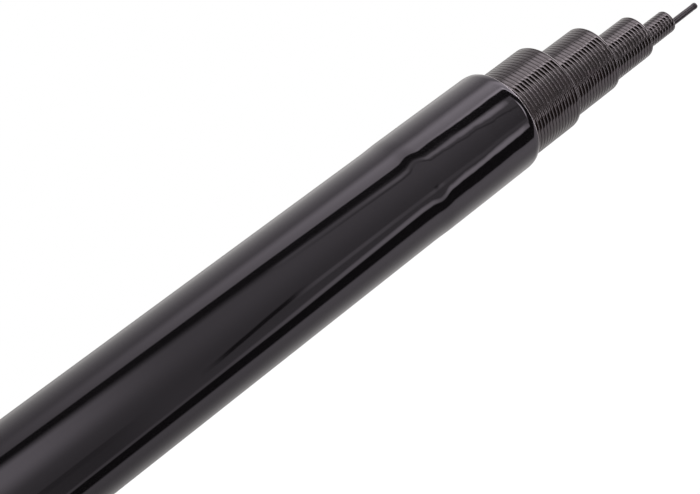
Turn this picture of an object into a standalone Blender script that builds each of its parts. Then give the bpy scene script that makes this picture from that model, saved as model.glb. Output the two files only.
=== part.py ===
"""A telescopic pole fishing rod without guides, closed up as it is carried.

Metres. The rod lies along +X with its tip at the +X end and +Z up. The origin is the centre of the rubber
bumper's outer face at the butt, where the rod stands when it is put on end.

Six carbon sections nest in each other: a lacquered butt tube, four tape-wound tubes whose surface keeps the
ridges of the winding, and a thin solid tip. Each tube narrows to a lock taper inside its mouth. The next
section's base is ground to the same taper, so it slides out freely and then jams there. Closed, the inner
sections are loose, so each lies on the floor of the tube around it and sticks out past its mouth.

Every piece is modelled upright on its own Z, and an empty lays the whole rod along +X. Each section is
parented to the one around it, and its object's Z is its own axis.

Radii run from the inside out: first the tip, then its slack in section 5, then that tube's wall, and so on.
So a section always fits inside the next one, whichever size is changed.
"""

import math
from collections import namedtuple

import bmesh
import bpy

# Gaps between neighbours, and between a section and its lock taper when it is drawn out
FIT_GAP = 0.0003
LOCK_GAP = 0.0001

# The lock taper, as radius gained for each metre towards the base
LOCK_TAPER = 0.003

# The ridges that the winding tape leaves
RIDGE_PITCH = 0.00108
RIDGE_HEIGHT = 0.00008
RIDGES_INSIDE = 1
MOUTH_CHAMFER = 0.00015

# The solid tip. A slack is measured on the radius: at the mouth of the tube around, and at its base.
TIP_DIAMETER = 0.0017
TIP_SLACK = 0.001525
TIP_BASE_SLACK = 0.0017
TIP_LAP = 0.040
TIP_STICKS_OUT = 0.0110
TIP_NOSE_STEPS = 4

# The tubes, from the thinnest to the thickest
SECTION_5_WALL = 0.0006
SECTION_5_SLACK = 0.001875
SECTION_5_BASE_SLACK = 0.0026
SECTION_5_LAP = 0.050
SECTION_5_STICKS_OUT = 0.0108

SECTION_4_WALL = 0.00095
SECTION_4_SLACK = 0.00245
SECTION_4_BASE_SLACK = 0.00143
SECTION_4_LAP = 0.060
SECTION_4_STICKS_OUT = 0.0147

SECTION_3_WALL = 0.00065
SECTION_3_SLACK = 0.0016
SECTION_3_BASE_SLACK = 0.00069
SECTION_3_LAP = 0.070
SECTION_3_STICKS_OUT = 0.0163

SECTION_2_WALL = 0.00085
SECTION_2_SLACK = 0.00085
SECTION_2_LAP = 0.080
SECTION_2_STICKS_OUT = 0.0164

# The butt tube, with a reinforced band and a rounded lip at its mouth
BUTT_LENGTH = 1.023
BUTT_MOUTH_WALL = 0.0009
BUTT_BASE_WALL = 0.0011
BAND_LENGTH = 0.032
BAND_HEIGHT = 0.00013
BAND_RUNOUT = 0.002
LIP_LENGTH = 0.0022
LIP_DROP = 0.0005
LIP_STEPS = 5

# The threaded ferrule that is glued into the base of the butt tube
FERRULE_WALL = 0.0008
FLANGE_THICKNESS = 0.002
FERRULE_EDGE = 0.0003
FERRULE_SHORT = 0.0005

# The screw cap, with a bumper outside it and a cushion inside it
PLUG_LENGTH = 0.012
CAP_HEAD_LENGTH = 0.008
CAP_HEAD_OVERHANG = 0.0005
CAP_EDGE_RADIUS = 0.0009
CAP_EDGE_STEPS = 3
FLUTE_COUNT = 24
FLUTE_RADIUS = 0.0013
FLUTE_DEPTH = 0.0006
SEAL_THICKNESS = 0.0016
BUMPER_DIAMETER = 0.022
BUMPER_THICKNESS = 0.003
BUMPER_PROUD = 0.001
BUMPER_EDGE = 0.0005
CUSHION_THICKNESS = 0.0045
CUSHION_EDGE = 0.0004
CUSHION_STEM_DIAMETER = 0.008
CUSHION_STEM_LENGTH = 0.006

# Flat sides around each turned piece
BUTT_SIDES = 48
SECTION_2_SIDES = 40
SECTION_3_SIDES = 32
SECTION_4_SIDES = 28
SECTION_5_SIDES = 20
TIP_SIDES = 12
FITTING_SIDES = 48
PAD_SIDES = 32
SEAL_TUBE_SIDES = 8
FLUTE_SIDES = 10

MERGE_DISTANCE = 0.00001
SHARP_ANGLE = math.radians(35)

# The ferrule fills the slack between section 2 and the base of the butt tube
BUTT_BASE_SLACK = FIT_GAP + FERRULE_WALL + FIT_GAP

Section = namedtuple("Section", "name wall slack base_slack lap sticks_out sides")
Sized = namedtuple("Sized", "section radius base_radius")

# From the outermost to the tip, whose wall is all of its radius
SECTIONS = (
    Section("section_2", SECTION_2_WALL, SECTION_2_SLACK, BUTT_BASE_SLACK,
            SECTION_2_LAP, SECTION_2_STICKS_OUT, SECTION_2_SIDES),
    Section("section_3", SECTION_3_WALL, SECTION_3_SLACK, SECTION_3_BASE_SLACK,
            SECTION_3_LAP, SECTION_3_STICKS_OUT, SECTION_3_SIDES),
    Section("section_4", SECTION_4_WALL, SECTION_4_SLACK, SECTION_4_BASE_SLACK,
            SECTION_4_LAP, SECTION_4_STICKS_OUT, SECTION_4_SIDES),
    Section("section_5", SECTION_5_WALL, SECTION_5_SLACK, SECTION_5_BASE_SLACK,
            SECTION_5_LAP, SECTION_5_STICKS_OUT, SECTION_5_SIDES),
    Section("tip_section", TIP_DIAMETER / 2, TIP_SLACK, TIP_BASE_SLACK,
            TIP_LAP, TIP_STICKS_OUT, TIP_SIDES),
)


def clear_scene():
    for old in list(bpy.data.objects):
        bpy.data.objects.remove(old)


def new_collection(name):
    collection = bpy.data.collections.new(name)
    bpy.context.scene.collection.children.link(collection)
    return collection


def material(name, colour, roughness, metallic=0.0, coat=0.0):
    made = bpy.data.materials.new(name)
    made.use_nodes = True
    shader = made.node_tree.nodes["Principled BSDF"]
    shader.inputs["Base Color"].default_value = (*colour, 1.0)
    shader.inputs["Roughness"].default_value = roughness
    shader.inputs["Metallic"].default_value = metallic
    shader.inputs["Coat Weight"].default_value = coat
    return made


def turned(name, profile, sides, finish, collection, hollow=False):
    """Turns (radius, height) points about Z. They run down the outer side, top to bottom, and a hollow
    piece's come back up its bore."""
    outline = bpy.data.meshes.new(name + "_profile")
    bm = bmesh.new()
    points = [bm.verts.new((radius, 0.0, height)) for radius, height in profile]
    for start, end in zip(points, points[1:]):
        bm.edges.new((start, end))
    if hollow:
        bm.edges.new((points[-1], points[0]))
    bm.to_mesh(outline)
    bm.free()

    piece = bpy.data.objects.new(name, outline)
    collection.objects.link(piece)
    turn = piece.modifiers.new("Turn", "SCREW")
    turn.axis = "Z"
    turn.angle = math.tau
    turn.steps = sides
    turn.render_steps = sides
    turn.use_merge_vertices = True
    turn.merge_threshold = MERGE_DISTANCE

    depsgraph = bpy.context.evaluated_depsgraph_get()
    shape = bpy.data.meshes.new_from_object(piece.evaluated_get(depsgraph))
    piece.modifiers.clear()
    piece.data = shape
    bpy.data.meshes.remove(outline)
    shape.name = name
    shape.materials.clear()
    shape.materials.append(finish)
    shape.shade_smooth()
    shape.set_sharp_from_angle(angle=SHARP_ANGLE)
    return piece


def place(piece, parent, height, drop=0.0, lean=0.0):
    """Sets a piece in its parent's frame. A drop is towards the ground once the rod lies down."""
    piece.parent = parent
    piece.location = (drop, 0.0, height)
    piece.rotation_euler = (0.0, lean, 0.0)


def arc(centre_radius, centre_height, wide, tall, first_deg, last_deg, steps):
    """Points on an ellipse's arc, as (radius, height), with the angle measured up from outwards."""
    points = []
    for step in range(steps + 1):
        angle = math.radians(first_deg + (last_deg - first_deg) * step / steps)
        points.append((centre_radius + wide * math.cos(angle), centre_height + tall * math.sin(angle)))
    return points


def size_sections():
    """Radii from the tip outwards: each bore is the radius of what slides in it, and its slack."""
    bore = 0.0
    sized = []
    for section in reversed(SECTIONS):
        radius = bore + section.wall
        bore = radius + section.slack
        base_radius = bore + LOCK_TAPER * section.lap - LOCK_GAP
        sized.append(Sized(section, radius, base_radius))
    return sized[::-1]


def bore_profile(inner, length, straight=0.0):
    """A tube's bore from its base up to its mouth, around the section that slides in it. The lock taper is
    the last stretch, and the ferrule's seat, if any, is straight."""
    mouth = inner.radius + inner.section.slack
    base = inner.base_radius + inner.section.base_slack
    points = [(base, 0.0), (base, straight)] if straight else [(base, 0.0)]
    points.append((mouth + LOCK_TAPER * inner.section.lap, length - inner.section.lap))
    points.append((mouth, length - MOUTH_CHAMFER))
    points.append((mouth + MOUTH_CHAMFER, length))
    return points


def outside(sized, length, height):
    """A section's radius at a height: its ground base first, and then a slow taper to its thin end."""
    lap = sized.section.lap
    if height <= lap:
        return sized.base_radius - LOCK_TAPER * height
    ground_top = sized.base_radius - LOCK_TAPER * lap
    return ground_top + (sized.radius - ground_top) * (height - lap) / (length - lap)


def wound_tube(sized, inner, length, finish, collection):
    """A tape-wound tube. The end that shows has the winding's ridges."""
    section = sized.section
    profile = [(sized.radius - MOUTH_CHAMFER, length)]
    crest = length - MOUTH_CHAMFER
    for _ in range(math.ceil(section.sticks_out / RIDGE_PITCH) + RIDGES_INSIDE):
        groove = crest - RIDGE_PITCH / 2
        profile.append((outside(sized, length, crest), crest))
        profile.append((outside(sized, length, groove) - RIDGE_HEIGHT, groove))
        crest -= RIDGE_PITCH
    profile.append((outside(sized, length, crest), crest))
    profile.append((outside(sized, length, section.lap), section.lap))
    profile.append((sized.base_radius, 0.0))
    profile.extend(bore_profile(inner, length))
    return turned(section.name, profile, section.sides, finish, collection, hollow=True)


def solid_tip(sized, length, finish, collection):
    """The solid tip. The end that shows is even and round-nosed."""
    section = sized.section
    nose = arc(0.0, length - sized.radius, sized.radius, sized.radius, 90, 0, TIP_NOSE_STEPS)
    profile = [(0.0, length), *nose[1:]]
    profile.append((sized.radius, length - section.sticks_out))
    profile.append((sized.base_radius - LOCK_TAPER * section.lap, section.lap))
    profile.append((sized.base_radius, 0.0))
    profile.append((0.0, 0.0))
    return turned(section.name, profile, section.sides, finish, collection)


def butt_tube(inner, base_radius, ferrule_seat, finish, collection):
    """The lacquered butt, with a reinforced band and a rounded lip at its mouth."""
    mouth_radius = inner.radius + inner.section.slack + BUTT_MOUTH_WALL
    slope = (base_radius - mouth_radius) / BUTT_LENGTH
    band_base = BUTT_LENGTH - BAND_LENGTH
    runout_base = band_base - BAND_RUNOUT
    lip_base = BUTT_LENGTH - LIP_LENGTH
    profile = arc(mouth_radius - LIP_DROP, lip_base, LIP_DROP, LIP_LENGTH, 90, 0, LIP_STEPS)
    profile.append((mouth_radius + slope * BAND_LENGTH, band_base))
    profile.append((mouth_radius + slope * (BUTT_LENGTH - runout_base) - BAND_HEIGHT, runout_base))
    profile.append((base_radius, 0.0))
    profile.extend(bore_profile(inner, BUTT_LENGTH, ferrule_seat))
    return turned("butt_tube", profile, BUTT_SIDES, finish, collection, hollow=True)


def ferrule(bore, length, flange_radius, finish, collection):
    """A thin ring inside the tube with a flange over its end. Height 0 is the flange's outer face."""
    profile = [
        (bore + FERRULE_WALL, length),
        (bore + FERRULE_WALL, FLANGE_THICKNESS),
        (flange_radius - FERRULE_EDGE, FLANGE_THICKNESS),
        (flange_radius, FLANGE_THICKNESS - FERRULE_EDGE),
        (flange_radius, FERRULE_EDGE),
        (flange_radius - FERRULE_EDGE, 0.0),
        (bore + FERRULE_EDGE, 0.0),
        (bore, FERRULE_EDGE),
        (bore, length),
    ]
    return turned("butt_ferrule", profile, FITTING_SIDES, finish, collection, hollow=True)


def flute_bars(head_radius, collection):
    """Round bars around the cap's head. Each one cuts a finger flute."""
    mesh = bpy.data.meshes.new("flute_bars")
    bm = bmesh.new()
    centre = head_radius + FLUTE_RADIUS - FLUTE_DEPTH
    for flute in range(FLUTE_COUNT):
        angle = math.tau * (flute + 0.5) / FLUTE_COUNT
        bar = bmesh.ops.create_cone(
            bm, cap_ends=True, segments=FLUTE_SIDES, radius1=FLUTE_RADIUS, radius2=FLUTE_RADIUS,
            depth=CAP_HEAD_LENGTH * 2,
        )
        to_rim = (centre * math.cos(angle), centre * math.sin(angle), CAP_HEAD_LENGTH / 2)
        bmesh.ops.translate(bm, verts=bar["verts"], vec=to_rim)
    bm.to_mesh(mesh)
    bm.free()
    bars = bpy.data.objects.new("flute_bars", mesh)
    bars.hide_render = True
    bars.display_type = "WIRE"
    collection.objects.link(bars)
    return bars


def screw_cap(plug_radius, head_radius, finish, collection):
    """A head with a recess for the bumper, and the plug with the seal's groove at its root and a hole for
    the cushion's stem. Height 0 is the head's outer face."""
    top = CAP_HEAD_LENGTH + PLUG_LENGTH
    stem_hole = CUSHION_STEM_DIAMETER / 2 + FIT_GAP
    groove_radius = plug_radius - SEAL_THICKNESS - FIT_GAP
    groove_top = CAP_HEAD_LENGTH + SEAL_THICKNESS + 2 * FIT_GAP
    recess_radius = BUMPER_DIAMETER / 2 + FIT_GAP
    recess_top = BUMPER_THICKNESS - BUMPER_PROUD + FIT_GAP
    edge = CAP_EDGE_RADIUS
    profile = [
        (0.0, top - CUSHION_STEM_LENGTH),
        (stem_hole, top - CUSHION_STEM_LENGTH),
        (stem_hole, top),
        (plug_radius - FERRULE_EDGE, top),
        (plug_radius, top - FERRULE_EDGE),
        (plug_radius, groove_top),
        (groove_radius, groove_top),
        (groove_radius, CAP_HEAD_LENGTH),
    ]
    profile.extend(arc(head_radius - edge, CAP_HEAD_LENGTH - edge, edge, edge, 90, 0, CAP_EDGE_STEPS))
    profile.extend(arc(head_radius - edge, edge, edge, edge, 0, -90, CAP_EDGE_STEPS))
    profile.append((recess_radius, 0.0))
    profile.append((recess_radius, recess_top))
    profile.append((0.0, recess_top))
    return turned("butt_cap", profile, FITTING_SIDES, finish, collection)


def seal_ring(plug_radius, finish, collection):
    """A rubber ring of round section in the plug's groove, centred on height 0."""
    half = SEAL_THICKNESS / 2
    around = arc(plug_radius - half, 0.0, half, half, 90, -270, SEAL_TUBE_SIDES)
    return turned("cap_seal", around[:-1], FITTING_SIDES, finish, collection, hollow=True)


def bumper_pad(finish, collection):
    """The rubber disc that the rod stands on. Height 0 is the face on the ground."""
    radius = BUMPER_DIAMETER / 2
    profile = [
        (0.0, BUMPER_THICKNESS),
        (radius - BUMPER_EDGE, BUMPER_THICKNESS),
        (radius, BUMPER_THICKNESS - BUMPER_EDGE),
        (radius, BUMPER_EDGE),
        (radius - BUMPER_EDGE, 0.0),
        (0.0, 0.0),
    ]
    return turned("butt_bumper", profile, PAD_SIDES, finish, collection)


def cushion_pad(radius, finish, collection):
    """The rubber disc that the sections land on. Its stem holds it in the plug, and height 0 is its back."""
    stem = CUSHION_STEM_DIAMETER / 2
    profile = [
        (0.0, CUSHION_THICKNESS),
        (radius - CUSHION_EDGE, CUSHION_THICKNESS),
        (radius, CUSHION_THICKNESS - CUSHION_EDGE),
        (radius, 0.0),
        (stem, 0.0),
        (stem, -CUSHION_STEM_LENGTH),
        (0.0, -CUSHION_STEM_LENGTH),
    ]
    return turned("cap_cushion", profile, PAD_SIDES, finish, collection)


def closed_pose(section, tube_length):
    """How a loose section lies in the tube around it: how far its base drops, and how far it leans."""
    drop_at_mouth = section.slack - FIT_GAP
    drop_at_base = max(0.0, min(drop_at_mouth, section.base_slack - FIT_GAP))
    lean = math.atan2(drop_at_mouth - drop_at_base, tube_length)
    return drop_at_base, lean


def build():
    clear_scene()
    rod = new_collection("pole_rod")
    cutters = new_collection("cutters")

    lacquer = material("black_lacquer", (0.012, 0.011, 0.013), 0.08, coat=1.0)
    wound = material("wound_carbon", (0.030, 0.027, 0.030), 0.30, coat=0.5)
    solid = material("solid_carbon", (0.020, 0.018, 0.018), 0.35)
    anodised = material("black_anodised", (0.020, 0.020, 0.022), 0.35, metallic=0.9)
    rubber = material("black_rubber", (0.018, 0.018, 0.018), 0.75)

    # Its own Z is the rod's axis, and its own X points down
    axis = bpy.data.objects.new("rod_axis", None)
    axis.rotation_euler = (0.0, math.pi / 2, 0.0)
    rod.objects.link(axis)

    # Heights above the bumper's outer face
    head_face = BUMPER_PROUD
    shoulder = head_face + CAP_HEAD_LENGTH
    flange_face = shoulder + FIT_GAP
    tube_base = flange_face + FLANGE_THICKNESS + FIT_GAP
    cushion_back = shoulder + PLUG_LENGTH + FIT_GAP
    cushion_face = cushion_back + CUSHION_THICKNESS
    ferrule_top = cushion_face - FERRULE_SHORT
    sections_base = cushion_face + FIT_GAP
    mouth = tube_base + BUTT_LENGTH

    # Section 2 still passes out through the ferrule, once the cap is off
    sized = size_sections()
    widest = sized[0]
    ferrule_bore = widest.base_radius + FIT_GAP
    plug_radius = ferrule_bore - FIT_GAP
    butt_radius = widest.base_radius + BUTT_BASE_SLACK + BUTT_BASE_WALL

    tube = butt_tube(widest, butt_radius, ferrule_top + FIT_GAP - tube_base, lacquer, rod)
    place(tube, axis, tube_base)
    place(ferrule(ferrule_bore, ferrule_top - flange_face, butt_radius, anodised, rod), axis, flange_face)

    head_radius = butt_radius + CAP_HEAD_OVERHANG
    cap = screw_cap(plug_radius, head_radius, anodised, rod)
    place(cap, axis, head_face)
    bars = flute_bars(head_radius, cutters)
    place(bars, axis, head_face)
    flutes = cap.modifiers.new("Flutes", "BOOLEAN")
    flutes.operation = "DIFFERENCE"
    flutes.solver = "EXACT"
    flutes.object = bars
    place(seal_ring(plug_radius, rubber, rod), axis, shoulder + FIT_GAP + SEAL_THICKNESS / 2)
    place(bumper_pad(rubber, rod), axis, 0.0)
    place(cushion_pad(plug_radius - FIT_GAP, rubber, rod), axis, cushion_back)

    # All inner sections stand on the cushion, and each one sticks out of the tube around it
    around = axis
    height = sections_base
    length = mouth - sections_base
    for number, this in enumerate(sized):
        drop, lean = closed_pose(this.section, length)
        length += this.section.sticks_out
        if this is sized[-1]:
            piece = solid_tip(this, length, solid, rod)
        else:
            piece = wound_tube(this, sized[number + 1], length, wound, rod)
        place(piece, around, height, drop, lean)
        around = piece
        height = 0.0


build()
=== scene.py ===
# %% [markdown]
# # A telescopic pole rod, closed up
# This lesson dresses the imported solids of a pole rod, the kind of fishing rod whose tubes slide into
# each other. The solids already have the right size and place. What they lack is what the eye looks
# for: the tape ridges on the wound tubes, the lacquer, the threads and the satin metal of the butt.

# %% Load the frame
import math

import bmesh
import bpy
import numpy as np
from mathutils import Euler, Matrix, Vector, noise


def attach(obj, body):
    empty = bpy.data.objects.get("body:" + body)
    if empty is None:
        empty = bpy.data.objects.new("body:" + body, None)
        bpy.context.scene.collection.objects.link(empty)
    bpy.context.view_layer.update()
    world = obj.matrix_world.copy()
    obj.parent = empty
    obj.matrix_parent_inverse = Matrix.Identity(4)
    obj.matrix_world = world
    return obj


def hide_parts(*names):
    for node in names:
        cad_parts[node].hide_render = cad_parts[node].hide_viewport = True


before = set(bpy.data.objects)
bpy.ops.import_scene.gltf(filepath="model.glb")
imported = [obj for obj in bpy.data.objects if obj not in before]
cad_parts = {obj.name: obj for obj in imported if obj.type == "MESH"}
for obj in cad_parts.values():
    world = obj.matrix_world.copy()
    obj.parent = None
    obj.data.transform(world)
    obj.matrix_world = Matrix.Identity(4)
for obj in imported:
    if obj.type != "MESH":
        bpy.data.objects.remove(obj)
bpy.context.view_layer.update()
MM = 0.001
print("pieces in the frame:", sorted(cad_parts))

# %% [markdown]
# ## Reading sizes off the solids
# All pieces of a rod are turned: they are round about an axis. So a piece is known by its axis and by
# its rings, each with a height along the axis and a radius. The sections lean a little inside each
# other, which is why each gets its own axis. Reading the rings keeps this file free of doubled sizes.


# %% Read a turned piece's axis and rings
def read_turned(node):
    """A solid's low end, its axis, its length, and its rings as (height, radius).
    Rings that lie within 0.02 mm of each other count as one."""
    points = np.array([v.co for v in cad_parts[node].data.vertices], float)
    ends = []
    for near in (points[:, 0].min(), points[:, 0].max()):
        ring = points[abs(points[:, 0] - near) < 0.05 * MM]
        ends.append((ring.min(0) + ring.max(0)) / 2)
    length = float(np.linalg.norm(ends[1] - ends[0]))
    axis = (ends[1] - ends[0]) / length
    heights = (points - ends[0]) @ axis
    radii = np.linalg.norm(points - ends[0] - np.outer(heights, axis), axis=1)
    rings = []
    for height, radius in sorted(zip(heights.round(5) + 0.0, radii.round(6))):
        if all(abs(height - h) > 0.02 * MM or abs(radius - r) > 0.02 * MM for h, r in rings[-6:]):
            rings.append((float(height), float(radius)))
    return {"low": Vector(ends[0]), "axis": Vector(axis), "length": length, "rings": rings}


turned = {node: read_turned(node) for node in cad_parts}
for node, found in sorted(turned.items()):
    print(f"{node}: {found['length'] / MM:.1f} mm long, {len(found['rings'])} rings")


def rings_between(node, low, high):
    """A solid's rings between two heights along its axis."""
    return [(h, r) for h, r in turned[node]["rings"] if low < h < high]


def spread(node):
    """A solid's length, and its least and greatest radius."""
    radii = [r for h, r in turned[node]["rings"]]
    return turned[node]["length"], min(radii), max(radii)


# %% [markdown]
# ## Turning a piece as on a lathe
# A lathe shape starts as half an outline. A plane is merged to one point, the point is extruded from
# corner to corner, and Spin sweeps the line round the axis. This is quicker and truer than pushing
# rings about, because every corner is set once. Two things are then tidied: Spin leaves its last row
# on its first, so doubles are merged, and the faces are turned to point outwards.


# %% Draw an outline and spin it
# Corners nearer to each other than half a micrometre count as one.
MERGE = 0.5e-6


def let_go():
    """Leaves edit mode and deselects everything, because an operator acts on all that is selected."""
    if bpy.context.object and bpy.context.object.mode != "OBJECT":
        bpy.ops.object.mode_set(mode="OBJECT")
    bpy.ops.object.select_all(action="DESELECT")


def pick_up(piece):
    """Makes a piece the only one selected, and the active one."""
    let_go()
    piece.select_set(True)
    bpy.context.view_layer.objects.active = piece


def draw_outline(name, outline, closed):
    """A line through (radius, height) corners, left selected in edit mode."""
    let_go()
    bpy.ops.mesh.primitive_plane_add(size=MM, location=(0, 0, 0))
    piece = bpy.context.object
    piece.name = name
    piece.data.name = name
    bpy.ops.object.mode_set(mode="EDIT")
    bpy.ops.mesh.merge(type="CENTER")
    bpy.ops.transform.translate(value=(outline[0][0], 0, outline[0][1]))
    for (r0, h0), (r1, h1) in zip(outline, outline[1:]):
        bpy.ops.mesh.extrude_region_move(TRANSFORM_OT_translate={"value": (r1 - r0, 0, h1 - h0)})
    if closed:
        shape = bmesh.from_edit_mesh(piece.data)
        for vertex in shape.verts:
            vertex.select_set(len(vertex.link_edges) == 1)
        bpy.ops.mesh.edge_face_add()
    bpy.ops.mesh.select_all(action="SELECT")
    return piece


def tidy_shell():
    """Merges doubles and turns the faces outwards, in edit mode."""
    bpy.ops.mesh.select_all(action="SELECT")
    bpy.ops.mesh.remove_doubles(threshold=MERGE)
    bpy.ops.mesh.normals_make_consistent(inside=False)
    bpy.ops.object.mode_set(mode="OBJECT")


def turn_piece(name, outline, sides, closed=True):
    """Spins a half outline into a solid. A hollow piece's outline is a closed loop."""
    piece = draw_outline(name, outline, closed)
    bpy.ops.mesh.spin(steps=sides, angle=math.tau, center=(0, 0, 0), axis=(0, 0, 1))
    tidy_shell()
    return piece


def rounded(radius, height, size, start, end, steps=4):
    """Corners of an arc about (radius, height), from one angle to the other in degrees."""
    turns = [math.radians(start + (end - start) * k / steps) for k in range(steps + 1)]
    return [(radius + size * math.cos(t), height + size * math.sin(t)) for t in turns]


# %% [markdown]
# ## Laying a piece on its axis
# Pieces are turned upright on the Z axis. The rod lies along X, so a finished piece is turned over,
# moved to where its solid begins, and its place is then applied to its mesh. It ends with its object
# at the origin, as the solids have it, so that a pattern on object coordinates stays put.


# %% Lay a piece in place and hand it to its body
def lay(piece, node):
    """Turns an upright piece onto its solid's axis and applies the place."""
    found = turned[node]
    tilt = math.atan2(found["axis"].z, found["axis"].x)
    pick_up(piece)
    piece.rotation_euler = Euler((0, math.pi / 2 - tilt, 0))
    piece.location = found["low"]
    bpy.ops.object.transform_apply(location=True, rotation=True, scale=True)


def finish_piece(piece, body, finishes, nodes, smooth=35):
    """Smooths a piece's soft angles, gives it its finishes, and ties it to the frame."""
    pick_up(piece)
    bpy.ops.object.shade_smooth_by_angle(angle=math.radians(smooth))
    piece.data.materials.clear()
    for finish in finishes:
        piece.data.materials.append(finish)
    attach(piece, body)
    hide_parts(*nodes)
    triangles = sum(len(face.vertices) - 2 for face in piece.data.polygons)
    names = " and ".join(finish.name for finish in finishes)
    print(f"{piece.name}: {triangles} triangles on {body}, in {names}")


# %% [markdown]
# ## Building a material from nodes
# A finish is a small sum: coordinates go in, and colour, roughness and height come out. A few short
# helpers keep each sum readable. They add a node or a math step, fade a value softly between two
# places, mix two colours, and make noise or a bump.


# %% Add nodes
def set_inputs(tree, node, inputs):
    """Gives a node its inputs. Each is a number, a colour or another node's output."""
    for name, value in inputs.items():
        if isinstance(value, bpy.types.NodeSocket):
            tree.links.new(value, node.inputs[name])
        else:
            node.inputs[name].default_value = value


def add_node(tree, kind, inputs=None, **settings):
    """A node with its settings and inputs."""
    node = tree.nodes.new(kind)
    for name, value in settings.items():
        setattr(node, name, value)
    set_inputs(tree, node, inputs or {})
    return node


def sum_up(tree, operation, *values):
    """One math step on numbers or outputs."""
    return add_node(tree, "ShaderNodeMath", dict(enumerate(values)), operation=operation).outputs[0]


def chain(tree, operation, *values):
    """The same math step over several values, one after another."""
    whole = values[0]
    for value in values[1:]:
        whole = sum_up(tree, operation, whole, value)
    return whole


def product(tree, *values):
    """The product of several values."""
    return chain(tree, "MULTIPLY", *values)


def fade(tree, value, start, end, low=0.0, high=1.0):
    """Goes softly from low to high as the value goes from start to end."""
    places = {"Value": value, "From Min": start, "From Max": end, "To Min": low, "To Max": high}
    node = add_node(tree, "ShaderNodeMapRange", places, interpolation_type="SMOOTHSTEP")
    return node.outputs["Result"]


def mix_colours(tree, share, first, second):
    """The first colour where the share is 0 and the second where it is 1."""
    node = add_node(tree, "ShaderNodeMix", data_type="RGBA")
    for name, value in (("Factor_Float", share), ("A_Color", first), ("B_Color", second)):
        socket = next(s for s in node.inputs if s.identifier == name)
        if isinstance(value, bpy.types.NodeSocket):
            tree.links.new(value, socket)
        else:
            socket.default_value = value
    return next(s for s in node.outputs if s.identifier == "Result_Color")


def new_finish(name):
    """An empty material with its shader, and its object coordinates."""
    material = bpy.data.materials.new(name)
    material.use_nodes = True
    tree = material.node_tree
    shader = tree.nodes["Principled BSDF"]
    place = add_node(tree, "ShaderNodeTexCoord").outputs["Object"]
    return material, tree, shader, place


def grain(tree, place, scale, stretch=(1, 1, 1), detail=2.0, roughness=0.5):
    """Soft noise, stretched along the axes."""
    pulled = add_node(tree, "ShaderNodeMapping", {"Vector": place, "Scale": stretch})
    sockets = {"Vector": pulled.outputs[0], "Scale": scale, "Detail": detail, "Roughness": roughness}
    return add_node(tree, "ShaderNodeTexNoise", sockets).outputs["Fac"]


def emboss(tree, height, distance, strength=1.0, under=None):
    """A bump of that real height in metres, on top of another bump where one is given."""
    sockets = {"Height": height, "Distance": distance, "Strength": strength}
    if under is not None:
        sockets["Normal"] = under
    return add_node(tree, "ShaderNodeBump", sockets).outputs["Normal"]


# %% [markdown]
# ## The camera
# The photograph looks along the rod's mouth with a long lens, level with the rod and turned so that
# the rod climbs to the upper right. The camera's three directions are written as the columns of its
# matrix, which is exact where a chain of turns would not be.

# %% Place the camera
CAMERA_PLACE = Vector((0.7811, -0.3856, -0.0023))
LENS = 99.27
ROLL = math.radians(37.45)
LOOK = math.radians(62.42)
look = Vector((math.cos(LOOK), math.sin(LOOK), 0))
level = Vector((math.sin(LOOK), -math.cos(LOOK), 0))
upright = Vector((0, 0, 1))
right = level * math.cos(ROLL) - upright * math.sin(ROLL)
top = level * math.sin(ROLL) + upright * math.cos(ROLL)

camera_data = bpy.data.cameras.new("camera")
camera_data.lens = LENS
camera_data.sensor_width = 36
camera_data.clip_start = 0.01
camera_data.clip_end = 50
camera = bpy.data.objects.new("camera", camera_data)
bpy.context.scene.collection.objects.link(camera)
turn = Matrix((right, top, -look)).transposed()
camera.matrix_world = Matrix.Translation(CAMERA_PLACE) @ turn.to_4x4()
bpy.context.scene.camera = camera
bpy.context.scene.view_settings.view_transform = "Standard"
print("camera at", [round(c, 4) for c in camera.matrix_world.translation], "lens", LENS)

# %% [markdown]
# ## The studio
# Black lacquer shows almost nothing of itself: what we see is the studio in it. This one is simple.
# White paper surrounds the rod, the room round the camera is dark, and in that dark stands a pale
# panel, dimmer in its middle than along its rims. A soft lamp over the rod brightens the paper.
#
# Cards could be built for all this, but they would stand in the way of a rod drawn out to six metres.
# The world can hold the same picture by direction instead, and shows it to glossy rays only. To the
# camera and to matt surfaces the world is plain white. Directions are given as two angles in degrees:
# round the rod, from 0 at the camera's side up to 180 behind it, and along the rod, towards its tip.
# In each fade below, the first two numbers are such angles and the last two are levels, where 1 is white.

# %% Directions round and along the rod
world = bpy.data.worlds.new("studio")
bpy.context.scene.world = world
world.use_nodes = True
sky = world.node_tree
sky.nodes.clear()
ray = add_node(sky, "ShaderNodeTexCoord").outputs["Generated"]
split = add_node(sky, "ShaderNodeSeparateXYZ", {"Vector": ray})
ray_x, ray_y, ray_z = split.outputs
away = sum_up(sky, "MULTIPLY", ray_y, -1.0)
around = sum_up(sky, "DEGREES", sum_up(sky, "ARCTAN2", ray_z, away))
along = sum_up(sky, "DEGREES", sum_up(sky, "ARCSINE", ray_x))
print("directions ready:", len(sky.nodes), "nodes in the world")


def slanted(offset, per_degree, *bends):
    """An angle round the rod that changes with the angle along it, and changes more past each bend."""
    line = sum_up(sky, "MULTIPLY_ADD", along, per_degree, offset)
    for bend, more in bends:
        past = sum_up(sky, "MAXIMUM", sum_up(sky, "SUBTRACT", along, bend), 0.0)
        line = sum_up(sky, "MULTIPLY_ADD", past, more, line)
    return line


def beyond(angle, limit):
    """How many degrees an angle is past a limit."""
    return sum_up(sky, "SUBTRACT", angle, limit)


def both(*shares):
    """The product of several shares."""
    return product(sky, *shares)


def most(*levels):
    """The greatest of several levels."""
    return chain(sky, "MAXIMUM", *levels)


def total(*levels):
    """The sum of several levels."""
    return chain(sky, "ADD", *levels)


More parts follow.
